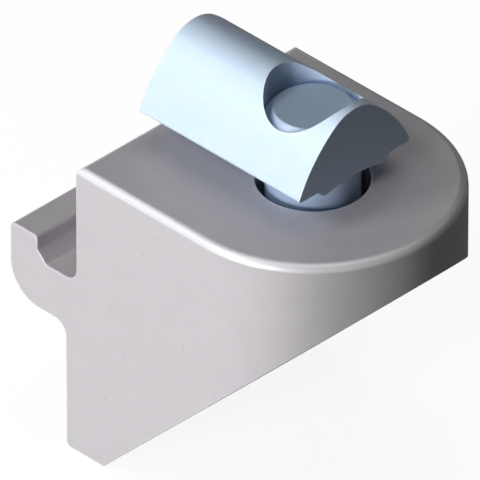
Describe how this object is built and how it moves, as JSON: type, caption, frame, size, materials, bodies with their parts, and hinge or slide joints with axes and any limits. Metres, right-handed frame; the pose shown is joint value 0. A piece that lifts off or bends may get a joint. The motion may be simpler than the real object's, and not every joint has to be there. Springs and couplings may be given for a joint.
{
  "type": "angle clamp bracket",
  "caption": "Hooked angle bracket that clamps two slotted square profiles into a T, with a screw from below into a half-round roll-in slot nut.",
  "frame": {"origin": "where the screw's axis crosses the bracket's flat top face", "axes": "+Z along the screw's axis, up into the second profile's slot; +X away from the first profile, towards the rounded nose; +Y across the bracket, along the first profile's slot"},
  "size_m": [0.0221, 0.016, 0.0238],
  "materials": {
    "cast_bracket": "die-cast, blasted to an even satin grey",
    "plated_screw": "blue-white zinc plate on a rolled and turned screw",
    "plated_nut": "blue-white zinc plate on drawn bar, milled ends"
  },
  "bodies": {
    "bracket": {"angle_bracket": "cast_bracket"},
    "screw": {"clamp_screw": "plated_screw"},
    "nut": {"slot_nut": "plated_nut"}
  },
  "joints": [
    {"name": "screw_turn", "type": "hinge", "parent": "bracket", "child": "screw", "pos_m": [0, 0, 0], "axis": [0, 0, 1], "range_deg": [-900, 600]},
    {"name": "nut_travel", "type": "slide", "parent": "bracket", "child": "nut", "axis": [0, 0, 1], "range_m": [-0.00133, 0.002]}
  ],
  "couplings": [
    {"joint": "screw_turn", "follows": "nut_travel", "rad_per_m": -7854}
  ]
}
